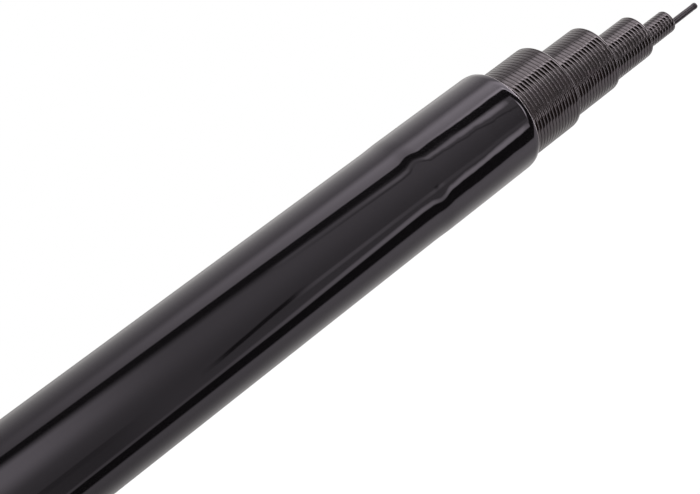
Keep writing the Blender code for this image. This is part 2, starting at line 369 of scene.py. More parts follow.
def rest(share):
    """What a share leaves over."""
    return sum_up(sky, "SUBTRACT", 1.0, share)


def bar(centre, half, core=0.1):
    """A soft stripe round the rod: 1 in its middle and 0 beyond its half width."""
    off = sum_up(sky, "ABSOLUTE", beyond(around, centre))
    return fade(sky, sum_up(sky, "DIVIDE", off, half), 1.0, core)


def choose(share, first, second):
    """The first level where the share is 0 and the second where it is 1."""
    sockets = {"Factor": share, "A": first, "B": second}
    return add_node(sky, "ShaderNodeMix", sockets, data_type="FLOAT").outputs["Result"]


# %% [markdown]
# The paper ends in a slanted edge above the camera, another below it, and a third towards the tip.
# Its level comes from the lamp: brightest above, paler behind, and dim on the underside. All of it
# grows towards the rod's mouth, because the lamp stands nearer to that end. The edge over the camera
# glows, and so does the paper that the rod points at.

# %% The white paper
over_edge = beyond(around, slanted(72.4, -0.6, (25.5, -0.38), (34.5, 1.0), (43, -1.2)))
paper_above = fade(sky, over_edge, -1.6, 1.6)
paper_below = fade(sky, beyond(slanted(-88.0, 0.16, (24, 0.5)), around), -1.5, 3.5)
paper_tip = fade(sky, along, 70, 77)
paper_butt = fade(sky, along, -50, -60)
paper = most(paper_above, paper_below, paper_tip, paper_butt)

upper_level = total(fade(sky, around, 180, 142, 0.22, 1.03), fade(sky, around, 120, 90, 0.0, -0.23))
upper_level = both(upper_level, fade(sky, along, 5, 38, 0.72, 1.04))
lamp_glow = both(
    fade(sky, around, 90, 73),
    fade(sky, around, 56, 72, 0.80, 1.0),
    fade(sky, along, 10, 40, 0.0, 2.05),
)
edge_glow = both(fade(sky, over_edge, 9.0, 2.0), fade(sky, along, 29.5, 40, 0.0, 3.6))
lower_level = total(
    fade(sky, around, -86, -108, 0.90, 0.60),
    fade(sky, around, -112, -138, 0.0, 0.13),
    fade(sky, around, -142, -170, 0.0, -0.24),
)
lower_level = both(lower_level, fade(sky, along, 8, 36, 0.74, 1.04))
tip_glow = fade(sky, along, 52, 76, 0.0, 4.2)
off_front = sum_up(sky, "ABSOLUTE", around)
back_glow = both(fade(sky, off_front, 135, 160), fade(sky, along, 36, 46, 0.0, 1.5))
above_rod = fade(sky, around, -8, 8)
paper_level = choose(above_rod, lower_level, total(upper_level, lamp_glow, edge_glow))
paper_level = total(paper_level, tip_glow, back_glow)
print("paper ready:", len(sky.nodes), "nodes in the world")

# %% [markdown]
# A pale panel stands in the dark round the camera. It is bright towards the butt and evens out towards
# the mouth. Below it lie duller cards, with a narrow gap between two of them. Two bright strips run
# along the rims, and a bright arc joins their ends towards the tip. In the lacquer they are the soft
# stripes that meet in a thin bow on the lip.

# %% The panel, the cards and the bright strips
panel_rim = beyond(around, slanted(66.3, -0.777))
panel = total(
    fade(sky, around, -30, 22, 0.49, 0.83),
    both(fade(sky, around, -9, 24), fade(sky, along, 22.5, 15, 0.0, 1.05)),
)
corner = both(fade(sky, along, 20, 17.5), fade(sky, around, -43, -38), 0.06)
cards = beyond(fade(sky, along, 18.2, 21, 0.33, 0.50), corner)
lower_centre = slanted(-80.2, 0.78, (24.3, 0.82))
cards = both(cards, fade(sky, beyond(around, lower_centre), -7.0, 1.0))
lit = choose(fade(sky, around, -31.1, -29.9), cards, panel)
lit = both(lit, fade(sky, panel_rim, -0.5, -16.5))

edge_light = both(
    bar(-34.5, 5.5, 0.3),
    fade(sky, along, 25.0, 26.6),
    fade(sky, along, 31.0, 28.0, 0.45, 1.0),
    0.5,
)
card_gap = both(
    bar(slanted(-114.6, 3.3), 5.6, 0.4),
    fade(sky, along, 21.9, 23.2),
    fade(sky, along, 26.2, 25.0),
    0.92,
)
rim_gap = both(bar(slanted(74.4, -1.7, (30.3, -2.9)), 3.0, 0.3), fade(sky, along, 24, 30), 0.45)
lit = both(total(lit, edge_light), rest(rim_gap), rest(card_gap))

upper_strip = both(
    bar(slanted(70.8, -1.35, (29, -0.65)), slanted(3.0, 0.15, (31, 1.0))),
    fade(sky, along, 24.5, 26.0, 0.0, 0.88),
    fade(sky, along, 27.2, 35.0, 1.0, 3.3),
)
lower_strip = both(
    bar(lower_centre, slanted(4.5, 0.17, (31.5, 0.2))),
    fade(sky, along, 20, 37, 0.72, 2.9),
)
strips_end = fade(sky, along, 35.4, 33.8)
cards_end = slanted(-77.0, 0.48, (25, 1.05))
inside = both(fade(sky, beyond(around, cards_end), -1.5, 1.5), fade(sky, along, -38, -30))

from_middle = sum_up(sky, "ADD", around, 9.0)
arc_place = sum_up(sky, "MULTIPLY_ADD", both(from_middle, from_middle), -0.0096, 45.0)
past_arc = beyond(along, arc_place)
off_middle = sum_up(sky, "ABSOLUTE", from_middle)
end_arc = both(
    fade(sky, past_arc, -4.2, -2.2),
    fade(sky, past_arc, 4.4, 2.0),
    fade(sky, around, -44, -38),
    fade(sky, around, 32, 26),
    fade(sky, off_middle, 26, 10, 0.9, 5.2),
)
before_arc = most(fade(sky, past_arc, 1.0, -1.0), fade(sky, along, 33, 31))
lit = both(lit, before_arc, fade(sky, along, 31, 35, 1.0, 0.85), fade(sky, along, 35, 37, 1.0, 0.4))
strips = both(most(upper_strip, lower_strip), strips_end)
print("panel, cards and strips ready:", len(sky.nodes), "nodes in the world")

# %% [markdown]
# The picture is put together from the back: the dark room, then the panel, then the paper. The paper
# has a hint of plum in front, where the lamp's light crosses it. The Light Path node sorts the rays:
# glossy rays get the picture, and all others get plain white.

# %% Put the studio together
ROOM_LEVEL = 0.03
room = total(most(both(most(lit, strips), inside), end_arc), ROOM_LEVEL)
picture = choose(paper, room, paper_level)
in_front = fade(sky, off_front, 150, 80)
tint = mix_colours(sky, in_front, (1.027, 0.987, 0.987, 1), (1.03, 0.925, 1.045, 1))
glossy_light = add_node(sky, "ShaderNodeBackground", {"Color": tint, "Strength": picture})
plain_light = add_node(sky, "ShaderNodeBackground", {"Color": (1, 1, 1, 1), "Strength": 1.0})
path = add_node(sky, "ShaderNodeLightPath")
choice = add_node(sky, "ShaderNodeMixShader", {
    "Fac": path.outputs["Is Glossy Ray"], 1: plain_light.outputs[0], 2: glossy_light.outputs[0],
})
add_node(sky, "ShaderNodeOutputWorld", {"Surface": choice.outputs[0]})

sun_data = bpy.data.lights.new("soft_lamp", "SUN")
sun_data.energy = 0.5
sun_data.angle = math.radians(40)
sun = bpy.data.objects.new("soft_lamp", sun_data)
sun.rotation_euler = (math.radians(-25), math.radians(-15), 0)
sun.visible_glossy = False
bpy.context.scene.collection.objects.link(sun)
print("studio ready:", len(sky.nodes), "nodes in the world")

# %% [markdown]
# ## The floor
# The rod is held well above a pale floor, because no shadow touches it in the photograph. The floor
# is matt, so it takes the rod's soft shadow. A little light added for camera rays brings its lit part
# to white without putting more light on the rod.

# %% Lay the floor
FLOOR_DROP = 0.14
let_go()
bpy.ops.mesh.primitive_plane_add(size=1, location=(2.0, 0, -FLOOR_DROP))
floor = bpy.context.object
floor.name = "floor"
floor.scale = (24, 16, 1)
bpy.ops.object.transform_apply(location=True, rotation=True, scale=True)
floor_paint, tree, shader, _ = new_finish("floor_paint")
seen = add_node(tree, "ShaderNodeLightPath").outputs["Is Camera Ray"]
set_inputs(tree, shader, {
    "Base Color": (0.78, 0.78, 0.78, 1),
    "Roughness": 0.9,
    "Specular IOR Level": 0.1,
    "Emission Color": (1, 1, 1, 1),
    "Emission Strength": product(tree, seen, 0.16),
})
floor.data.materials.append(floor_paint)
floor.visible_glossy = False
print("floor", FLOOR_DROP, "m below the rod's axis")

# %% [markdown]
# ## The lacquer
# The butt tube is sprayed with clear and black lacquer and polished. It is nearly black, so the coat
# does all the work. Real lacquer is never quite flat: it follows the wrapping beneath in long, low
# waves, strongest on the thickened band at the mouth. The waves are a bump of a few hundredths of a
# millimetre. Under them lies the finer print of the tape, and a very light haze of handling marks. On
# the very edge of the mouth a fine pale line is painted into the colour: a painted highlight of the lip.


# %% Mix the lacquer
def lacquer_finish(band_start, mouth_end):
    """The butt's finish, between the places along X where its band starts and its mouth ends."""
    material, tree, shader, place = new_finish("polished_lacquer")
    x = add_node(tree, "ShaderNodeSeparateXYZ", {"Vector": place}).outputs["X"]
    on_band = fade(tree, x, band_start - 4 * MM, band_start + 4 * MM, 0.12, 1.0)
    waves = grain(tree, place, 150, stretch=(0.55, 1, 1), detail=1.0)
    ripple = grain(tree, place, 420, stretch=(0.5, 1, 1), detail=1.5)
    height = sum_up(tree, "ADD", product(tree, waves, on_band), product(tree, on_band, 0.16, ripple))
    tape = grain(tree, place, 900, stretch=(1, 0.15, 0.15))
    haze = grain(tree, place, 60, stretch=(0.3, 1, 1), detail=6.0, roughness=0.65)
    colour = mix_colours(tree, haze, (0.0018, 0.0015, 0.0018, 1), (0.0032, 0.0026, 0.0030, 1))
    # A pale ring is painted into the colour just inside the mouth's edge. It is a painted highlight of the
    # lip, not wear.
    painted_edge_highlight = product(
        tree,
        fade(tree, x, mouth_end - 0.26 * MM, mouth_end - 0.18 * MM),
        fade(tree, x, mouth_end - 0.02 * MM, mouth_end - 0.04 * MM),
        fade(tree, haze, 0.35, 0.65, 0.75, 1.0),
    )
    colour = mix_colours(tree, painted_edge_highlight, colour, (0.30, 0.26, 0.26, 1))
    set_inputs(tree, shader, {
        "Base Color": colour,
        "Roughness": fade(tree, haze, 0.3, 0.7, 0.34, 0.46),
        "Specular IOR Level": 0.02,
        "Normal": emboss(tree, tape, 0.03 * MM),
        "Coat Weight": 1.0,
        "Coat Roughness": 0.025,
        "Coat IOR": 1.5,
        "Coat Normal": emboss(tree, height, 0.08 * MM),
    })
    return material


# %% [markdown]
# Inside, all the tubes are as they came off their mandrels: a dull, dark surface with fine lines
# round it, from the tool that cut them to length and from the film they were wound on.


# %% Mix the bare bore
def bore_finish():
    """The finish inside every tube."""
    material, tree, shader, place = new_finish("bare_bore")
    lines = grain(tree, place, 700, stretch=(1, 0.05, 0.05), detail=3.0)
    stain = grain(tree, place, 45, detail=4.0)
    set_inputs(tree, shader, {
        "Base Color": mix_colours(tree, stain, (0.008, 0.007, 0.007, 1), (0.020, 0.018, 0.018, 1)),
        "Roughness": fade(tree, lines, 0.3, 0.7, 0.55, 0.75),
        "Specular IOR Level": 0.3,
        "Normal": emboss(tree, lines, 0.04 * MM),
    })
    return material


# %% [markdown]
# ## The butt tube
# The largest tube is plain but for its mouth. There, extra turns of tape make a band against
# splitting, and the lacquer runs over its step in a soft slope before it rounds over the lip. The
# outline below follows the solid, with more corners where the light will turn. The lip is carried a
# little past the solid's, towards its place in the photograph.

# %% Read the butt tube's sizes
butt_rings = turned["butt_tube"]["rings"]
butt_long, mouth_bore, _ = spread("butt_tube")
butt_base = max(r for h, r in butt_rings if h == 0)
butt_bore = min(r for h, r in butt_rings if h == 0)
bore_knee = rings_between("butt_tube", butt_long - 90 * MM, butt_long - 70 * MM)[0]
band_foot, band_head = rings_between("butt_tube", butt_long - 36 * MM, butt_long - 30 * MM)
lip_radius = rings_between("butt_tube", butt_long - 3 * MM, butt_long - 2 * MM)[0][1]
print(f"butt: band from {band_foot[0] / MM:.0f} mm, {lip_radius / MM:.2f} mm in radius at its lip")

# %% Draw the butt's outline
base_edge = 0.25 * MM
step_low = band_foot[0] - 1.4 * MM
step_long = 6.4 * MM
crown_high = 0.012 * MM
lip_end = butt_long + 0.15 * MM
mouth_round = 0.25 * MM
soft_round = 6.0 * MM
soft_turn = 16.0
lip_start = lip_end - mouth_round * (1 - math.sin(math.radians(soft_turn)))
lip_start -= soft_round * math.sin(math.radians(soft_turn))


def straight(start, end, steps):
    """Evenly spaced corners from one to another, without the first."""
    return [(start[0] + (end[0] - start[0]) * k / steps, start[1] + (end[1] - start[1]) * k / steps)
            for k in range(1, steps + 1)]


def run_out(share):
    """A slope that starts and ends very gently."""
    return share ** 3 * (10 - 15 * share + 6 * share * share)


outer = [(butt_base - base_edge, 0.0), (butt_base, base_edge)]
outer += straight(outer[-1], (band_foot[1], band_foot[0]), 12)
outer[-1] = (outer[-1][0], step_low)
for share in [k / 20 for k in range(1, 21)]:
    rise = (band_head[1] - band_foot[1]) * run_out(share)
    outer.append((band_foot[1] + rise, step_low + step_long * share))
band_top = outer[-1]
for share in [k / 9 for k in range(1, 9)]:
    radius = band_top[0] + (lip_radius - band_top[0]) * share + crown_high * math.sin(math.pi * share)
    outer.append((radius, band_top[1] + (lip_start - band_top[1]) * share))
outer += rounded(lip_radius - soft_round, lip_start, soft_round, 0, soft_turn, 10)
edge_centre = outer[-1][0] - mouth_round * math.cos(math.radians(soft_turn))
outer += rounded(edge_centre, lip_end - mouth_round, mouth_round, soft_turn, 90, 8)[1:]
inner = [(mouth_bore + 0.12 * MM, lip_end), (mouth_bore, lip_end - 0.15 * MM)]
inner += [(bore_knee[1], bore_knee[0]), (butt_bore, 14 * MM), (butt_bore, 0.0)]
print("butt outline:", len(outer), "corners outside and", len(inner), "inside")

# %% [markdown]
# The band is wrapped by hand, so its step isn't quite square to the tube. The rings of the step are
# shifted along the tube, up on one side and down on the other, and the shift fades out over the band.

# %% Turn the butt tube
askew_most = 1.15 * MM
askew_end = 14 * MM
askew_fade = 7 * MM
butt = turn_piece("butt_shell", outer + inner, 288)
for vertex in butt.data.vertices:
    past_step = vertex.co.z - step_low
    if -MM < past_step < askew_end and math.hypot(vertex.co.x, vertex.co.y) > mouth_bore + 0.3 * MM:
        askew = min(1.0, (askew_end - past_step) / askew_fade)
        vertex.co.z += askew_most * askew * vertex.co.x / band_foot[1]
lay(butt, "butt_tube")
butt_start = turned["butt_tube"]["low"].x
lacquer = lacquer_finish(butt_start + band_foot[0], butt_start + lip_end)
bare_bore = bore_finish()
finish_piece(butt, "butt", [lacquer, bare_bore], ["butt_tube"])


# %% Give the bore its own finish
def mark_bore(piece, node, limit):
    """Gives the second finish to the faces within a radius that look at the piece's own axis."""
    found = turned[node]
    marked = 0
    for face in piece.data.polygons:
        from_low = face.center - found["low"]
        out = from_low - found["axis"] * from_low.dot(found["axis"])
        if out.length > 1e-9 and face.normal.dot(out.normalized()) < -0.5 and out.length < limit:
            face.material_index = 1
            marked += 1
    print(f"{piece.name}: {marked} faces in its bore")


mark_bore(butt, "butt_tube", butt_base)

# %% [markdown]
# ## Winding a helix
# Carbon tape is wound onto a mandrel and squeezed by a second, thin tape. When that is pulled off it
# leaves a ridge at each turn: a nearly flat land, a low crest, and a steep little step. The ridge runs
# round the tube as a screw thread does. So it is made as one: the outline of a single pitch is drawn,
# and the Screw modifier carries it up by one pitch per turn. Two Bisect cuts square off its ends.
#
# The cuts lie a whole number of pitches apart, so both leave the same corners in the same places.
# From the upper cut, rings are extruded over the mouth, down the bore, and up the outside again, and
# a bridge joins the last ring to the lower cut. The tube is then one closed skin.


# %% Wind an outline and close it into a tube
def wind_outline(name, outline, pitch, turns, sides):
    """The helix of an outline one pitch high, cut square at height 0 and after so many turns."""
    piece = draw_outline(name, outline, closed=False)
    bpy.ops.object.mode_set(mode="OBJECT")
    screw = piece.modifiers.new("winding", "SCREW")
    screw.axis = "Z"
    screw.angle = math.tau
    screw.screw_offset = pitch
    screw.iterations = turns + 1
    screw.steps = sides
    screw.render_steps = sides
    screw.use_merge_vertices = False
    bpy.ops.object.modifier_apply(modifier="winding")
    bpy.ops.object.mode_set(mode="EDIT")
    bpy.ops.mesh.select_all(action="SELECT")
    bpy.ops.mesh.remove_doubles(threshold=MERGE)
    for height, inner, outer_side in ((pitch, True, False), (pitch * (turns + 1), False, True)):
        bpy.ops.mesh.select_all(action="SELECT")
        bpy.ops.mesh.bisect(
            plane_co=(0, 0, height), plane_no=(0, 0, 1), threshold=1e-8,
            use_fill=False, clear_inner=inner, clear_outer=outer_side,
        )
    bpy.ops.mesh.select_all(action="SELECT")
    bpy.ops.transform.translate(value=(0, 0, -pitch))
    return piece


def pick_cut(piece, height):
    """Selects the open edge at that height."""
    bpy.ops.mesh.select_mode(type="EDGE")
    bpy.ops.mesh.select_all(action="DESELECT")
    shape = bmesh.from_edit_mesh(piece.data)
    for edge in shape.edges:
        if edge.is_boundary and all(abs(v.co.z - height) < 4 * MERGE for v in edge.verts):
            edge.select_set(True)
    bmesh.update_edit_mesh(piece.data)


def grow_rings(piece, rings):
    """Extrudes the selected edge from ring to ring, each set to its (radius, height)."""
    for radius, height in rings:
        bpy.ops.mesh.extrude_edges_move()
        shape = bmesh.from_edit_mesh(piece.data)
        for vertex in shape.verts:
            if vertex.select:
                flat = Vector((vertex.co.x, vertex.co.y)).normalized() * radius
                vertex.co = (flat.x, flat.y, height)
        bmesh.update_edit_mesh(piece.data)


def close_tube(piece, top_height, rings):
    """Carries the skin from the upper cut through the rings, and bridges it to the lower cut."""
    pick_cut(piece, top_height)
    grow_rings(piece, rings)
    shape = bmesh.from_edit_mesh(piece.data)
    for edge in shape.edges:
        edge.select_set(edge.is_boundary)
    bmesh.update_edit_mesh(piece.data)
    bpy.ops.mesh.bridge_edge_loops()
    bpy.ops.mesh.select_mode(type="VERT")
    tidy_shell()


# %% [markdown]
# ## The wound finish
# The resin of a wound tube flows out to one clear, glossy skin over the ridges, and the black below
# has a warm, brown cast. Each turn of tape is a touch lighter or darker than the next, and the crests
# are a little worn. The skin is uneven: it is puckered by the tape's weave, so it breaks reflections
# into short flecks.
#
# Only the first turns behind the mouth are cut as real ridges, because nine hundred would be too many.
# Further down a bump repeats their outline. It follows the same helix, worked out from the angle round
# the section's own axis, so the two meet in step. The outline of one turn is a list of places in the
# pitch, from 0 to 1, each with its depth in millimetres.


# %% Mix the wound finish
PITCH = 1.08 * MM
CREST = 0.74
RIDGE = [(0.00, -0.086), (0.05, -0.066), (0.10, -0.022), (0.14, -0.008), (0.20, -0.005), (0.69, 0.0),
         (0.76, -0.005), (0.83, -0.018), (0.89, -0.036), (0.95, -0.058), (1.00, -0.086)]


def wound_finish(name, node, ridges_from, ground_to):
    """The finish of one section. Heights are along its axis: real ridges begin at the first, and the
    ground base ends at the second."""
    material, tree, shader, place = new_finish(name)
    found = turned[node]
    tilt = math.atan2(found["axis"].z, found["axis"].x)
    centred = add_node(tree, "ShaderNodeVectorMath", {0: place, 1: found["low"]}, operation="SUBTRACT")
    own = add_node(
        tree, "ShaderNodeVectorRotate",
        {"Vector": centred.outputs[0], "Axis": (0, 1, 0), "Angle": tilt}, rotation_type="AXIS_ANGLE",
    ).outputs[0]
    split = add_node(tree, "ShaderNodeSeparateXYZ", {"Vector": own})
    height, y, z = split.outputs
    angle = sum_up(tree, "DIVIDE", sum_up(tree, "ARCTAN2", y, z), math.tau)
    from_ridges = sum_up(tree, "DIVIDE", sum_up(tree, "SUBTRACT", height, ridges_from), PITCH)
    turns = sum_up(tree, "SUBTRACT", from_ridges, angle)
    share = sum_up(tree, "FRACT", turns)
    tape = sum_up(tree, "FLOOR", turns)

    bumped = product(
        tree,
        fade(tree, height, ridges_from + MM, ridges_from),
        fade(tree, height, ground_to, ground_to + 12 * MM),
    )
    curve = add_node(tree, "ShaderNodeFloatCurve", {"Value": share})
    points = curve.mapping.curves[0].points
    lowest = min(deep for _, deep in RIDGE)
    points[0].location = (0, 0)
    points[1].location = (1, 0)
    for part, deep in RIDGE[1:-1]:
        points.new(part, 1 - deep / lowest)
    for point in points:
        point.handle_type = "VECTOR"
    curve.mapping.update()
    ridge = emboss(tree, product(tree, curve.outputs[0], bumped), -lowest * MM)
    swell = grain(tree, place, 420, stretch=(0.6, 1, 1), detail=1.5)
    pucker = grain(tree, place, 1700, stretch=(0.6, 1, 1), detail=1.5)
    uneven = sum_up(tree, "MULTIPLY_ADD", pucker, 0.06, swell)
    on_tape = fade(tree, height, ground_to - 4 * MM, ground_to + 10 * MM, 0.2, 1.0)
    puckered = emboss(tree, product(tree, uneven, on_tape), 0.07 * MM, under=ridge)

    shade = add_node(tree, "ShaderNodeTexWhiteNoise", {"W": tape}, noise_dimensions="1D").outputs["Value"]
    mottle = grain(tree, place, 260, stretch=(0.5, 1, 1), detail=4.0, roughness=0.6)
    mixed = sum_up(tree, "MULTIPLY_ADD", shade, 0.35, product(tree, mottle, 0.65))
    darker = (0.0016, 0.0010, 0.0006, 1)
    lighter = (0.0052, 0.0033, 0.0022, 1)
    worn = (0.014, 0.009, 0.006, 1)
    colour = mix_colours(tree, fade(tree, mixed, 0.2, 0.8), darker, lighter)
    crest = fade(tree, sum_up(tree, "ABSOLUTE", sum_up(tree, "SUBTRACT", share, CREST)), 0.10, 0.02)
    colour = mix_colours(tree, product(tree, crest, 0.3), colour, worn)
    set_inputs(tree, shader, {
        "Base Color": colour,
        "Roughness": fade(tree, mottle, 0.3, 0.7, 0.03, 0.07),
        "IOR": 1.62,
        "Specular Tint": (1.0, 0.97, 0.90, 1),
        "Normal": puckered,
    })
    return material


# %% [markdown]
# ## The wound sections
# Four tubes nest in the butt, each a size smaller. All are made the same way, so one function makes
# them: ridges near the mouth, a cut edge with a small round on it, a plain bore, and a base that is
# ground smooth to lock in the next mouth when the rod is drawn out. The skin swells and sinks a little
# from turn to turn, so its rings of highlight aren't all alike.


# %% Read a section's sizes
def section_sizes(node):
    """The section's own sizes, read from its solid."""
    length = turned[node]["length"]
    base = [r for h, r in turned[node]["rings"] if h < MM]
    mouth = [r for h, r in rings_between(node, length - 5 * MM, length + MM)]
    lock_top, bore_top = rings_between(node, MM, length - 30 * MM)
    return length, min(base), max(base), max(mouth), min(mouth), lock_top, bore_top


# %% Wind one section
MOUTH_CUT = 0.22 * MM
SWELL_LONG = 2.4 * MM
SWELL_HIGH = 0.010 * MM
SKIN_SUNK = 0.004 * MM


def wind_section(node, sides, turns):
    """One wound tube, on its solid's axis. Its body has its node's name."""
    length, base_bore, base_outer, top_outer, top_bore, lock_top, bore_top = section_sizes(node)
    skin_top = length - MOUTH_CUT
    ridges_from = skin_top - turns * PITCH
    taper = (lock_top[1] - top_outer) / (length - lock_top[0])
    outline = [(top_outer + deep * MM, part * PITCH) for part, deep in RIDGE]
    piece = wind_outline(node + "_tube", outline, PITCH, turns, sides)
    bpy.ops.transform.translate(value=(0, 0, ridges_from))
    edge = top_outer - 0.05 * MM
    below = ridges_from - 2 * MM
    close_tube(piece, skin_top, [
        (edge, skin_top + 0.07 * MM), (edge - 0.05 * MM, skin_top + 0.15 * MM),
        (edge - 0.14 * MM, length), (top_bore + 0.12 * MM, length),
        (top_bore + 0.03 * MM, length - 0.05 * MM), (top_bore, length - 0.15 * MM),
        (bore_top[1], bore_top[0]), (base_bore, 0.0), (base_outer - 0.2 * MM, 0.0),
        (base_outer, 0.2 * MM), (lock_top[1], lock_top[0]),
        (lock_top[1] - taper * (below - lock_top[0]), below),
    ])
    for vertex in piece.data.vertices:
        out = math.hypot(vertex.co.x, vertex.co.y)
        if vertex.co.z > ridges_from - MM and out > top_outer - 0.2 * MM:
            uneven = noise.noise(vertex.co / SWELL_LONG) * SWELL_HIGH - SKIN_SUNK
            grown = 1 + (taper * max(0.0, skin_top - vertex.co.z) + uneven) / out
            vertex.co.x *= grown
            vertex.co.y *= grown
    lay(piece, node)
    finish = wound_finish(node + "_winding", node, ridges_from, lock_top[0])
    finish_piece(piece, node, [finish, bare_bore], [node], smooth=60)
    mark_bore(piece, node, (top_bore + base_outer) / 2 + 2 * MM)


# %% Wind the four sections
SECTIONS = (("section_2", 120, 56), ("section_3", 112, 56), ("section_4", 96, 56), ("section_5", 80, 48))
for node, sides, turns in SECTIONS:
    wind_section(node, sides, turns)

# %% [markdown]
# ## The tip
# The last section is solid, so that it can be ground very thin. A grinding wheel leaves fine rings on
# it, and its end is rounded and dipped in varnish so that it doesn't fray. It is turned from an
# outline with a shallow waist behind the dipped end.


# %% Mix the ground finish
def ground_finish():
    """The tip's finish."""
    material, tree, shader, place = new_finish("ground_tip")
    rings_round = grain(tree, place, 1600, stretch=(1, 0.06, 0.06), detail=3.0, roughness=0.7)
    streaks = grain(tree, place, 700, stretch=(0.12, 1, 1), detail=2.0)
    height = sum_up(tree, "MULTIPLY_ADD", streaks, 0.4, rings_round)
    set_inputs(tree, shader, {
        "Base Color": mix_colours(tree, rings_round, (0.003, 0.002, 0.0015, 1), (0.014, 0.010, 0.008, 1)),
        "Roughness": fade(tree, streaks, 0.3, 0.7, 0.20, 0.34),
        "Specular IOR Level": 0.25,
        "Normal": emboss(tree, height, 0.03 * MM),
        "Coat Weight": 0.25,
        "Coat Roughness": 0.12,
    })
    return material


# %% Turn the tip
tip_long, _, tip_base = spread("tip_section")
lock_ring, (slim_from, slim) = rings_between("tip_section", MM, tip_long - 5 * MM)
dip = tip_long - 1.7 * MM
tip_outline = [(0, 0), (tip_base - 0.15 * MM, 0), (tip_base, 0.15 * MM), (lock_ring[1], lock_ring[0])]
tip_outline += straight(tip_outline[-1], (slim, slim_from), 8)
tip_outline += [(slim - 0.015 * MM, dip - 0.3 * MM), (slim - 0.06 * MM, dip),
                (slim - 0.02 * MM, dip + 0.2 * MM), (slim, dip + 0.5 * MM)]
tip_outline += rounded(0, tip_long - slim, slim, 0, 90, 8)[:-1] + [(0, tip_long)]
tip = turn_piece("tip_rod", tip_outline, 48, closed=False)
lay(tip, "tip_section")
finish_piece(tip, "tip", [ground_finish()], ["tip_section"])

# %% [markdown]
# ## Anodised aluminium
# The ring in the butt and the screw cap are turned from bar and anodised black. The tool leaves fine
# rings, which spread the highlight along them. On sharp edges the black is rubbed thin and the metal
# glints through, so the edges are found by their pointedness and made paler.


# %% Mix the anodised finish
def anodised_finish():
    """The finish of the ring and the cap."""
    material, tree, shader, place = new_finish("black_anodised")
    rings_round = grain(tree, place, 2400, stretch=(1, 0.04, 0.04), detail=3.0, roughness=0.7)
    speck = grain(tree, place, 900, detail=3.0, roughness=0.65)
    point = add_node(tree, "ShaderNodeNewGeometry").outputs["Pointiness"]
    edge = product(tree, fade(tree, point, 0.53, 0.60), fade(tree, speck, 0.35, 0.60))
    body = mix_colours(tree, speck, (0.014, 0.014, 0.016, 1), (0.026, 0.026, 0.029, 1))
    set_inputs(tree, shader, {
        "Base Color": mix_colours(tree, product(tree, edge, 0.45), body, (0.20, 0.20, 0.21, 1)),
        "Metallic": 0.6,
        "Roughness": fade(tree, rings_round, 0.3, 0.7, 0.26, 0.42),
        "Specular IOR Level": 0.6,
        "Normal": emboss(tree, rings_round, 0.02 * MM),
    })
    return material


anodised = anodised_finish()

# %% [markdown]
# ## The butt's ring and its thread
# A ring is glued into the base of the butt tube and carries the cap's thread. Its bore is wound as the
# ridges were, with a real thread's outline: a narrow crest, straight flanks and a rounded root. The
# cap's thread is cut a little smaller, so the two never touch in any position.

# %% Draw one pitch of a thread
THREAD = 1.5 * MM


def thread_outline(crest, deep, crest_end):
    """One pitch from crest to crest. The root lies deep outwards, or inwards if that is negative."""
    places = ((0.0, 0.0), (crest_end, 0.0), (crest_end + 0.30, 0.9), (crest_end + 0.40, 1.0),
              (crest_end + 0.50, 0.9), (crest_end + 0.80, 0.0), (1.0, 0.0))
    return [(crest + deep * share, part * THREAD) for part, share in places]


# %% Wind the threaded ring
ring_rings = turned["butt_ferrule"]["rings"]
ring_long, ring_bore, flange_outer = spread("butt_ferrule")
ring_outer = max(r for h, r in ring_rings if h > 15 * MM)
flange_top = max(h for h, r in ring_rings if r > ring_outer)
ring_root = 0.36 * MM
root_bore = ring_bore + ring_root
ring_turns = 9
ring_low = 1.2 * MM
ring_top = ring_low + ring_turns * THREAD
ring_piece = wind_outline(
    "threaded_ring", thread_outline(ring_bore, ring_root, 0.12), THREAD, ring_turns, 144,
)
bpy.ops.transform.translate(value=(0, 0, ring_low))
close_tube(ring_piece, ring_top, [
    (root_bore, ring_top + 0.35 * MM), (root_bore, ring_long - 0.15 * MM),
    (root_bore + 0.1 * MM, ring_long), (ring_outer - 0.1 * MM, ring_long),
    (ring_outer, ring_long - 0.12 * MM), (ring_outer, flange_top + 0.12 * MM),
    (ring_outer + 0.05 * MM, flange_top), (flange_outer - 0.25 * MM, flange_top),
    (flange_outer - 0.07 * MM, flange_top - 0.07 * MM), (flange_outer, flange_top - 0.25 * MM),
    (flange_outer, 0.25 * MM), (flange_outer - 0.07 * MM, 0.07 * MM), (flange_outer - 0.25 * MM, 0.0),
    (root_bore + 0.1 * MM, 0.0), (root_bore, 0.12 * MM), (root_bore, ring_low - 0.35 * MM),
])
lay(ring_piece, "butt_ferrule")
finish_piece(ring_piece, "butt", [anodised], ["butt_ferrule"], smooth=30)

# %% [markdown]
# ## The screw cap
# The cap's head is gripped by wet fingers, so flutes are milled round it. Twenty-four round bars are
# set about the axis and taken away from the turned head with a Boolean, and a Bevel softens the edges
# that they leave. The plug behind the head is wound as a thread and then joined to the head with a
# second Boolean, so that the cap stays one solid.

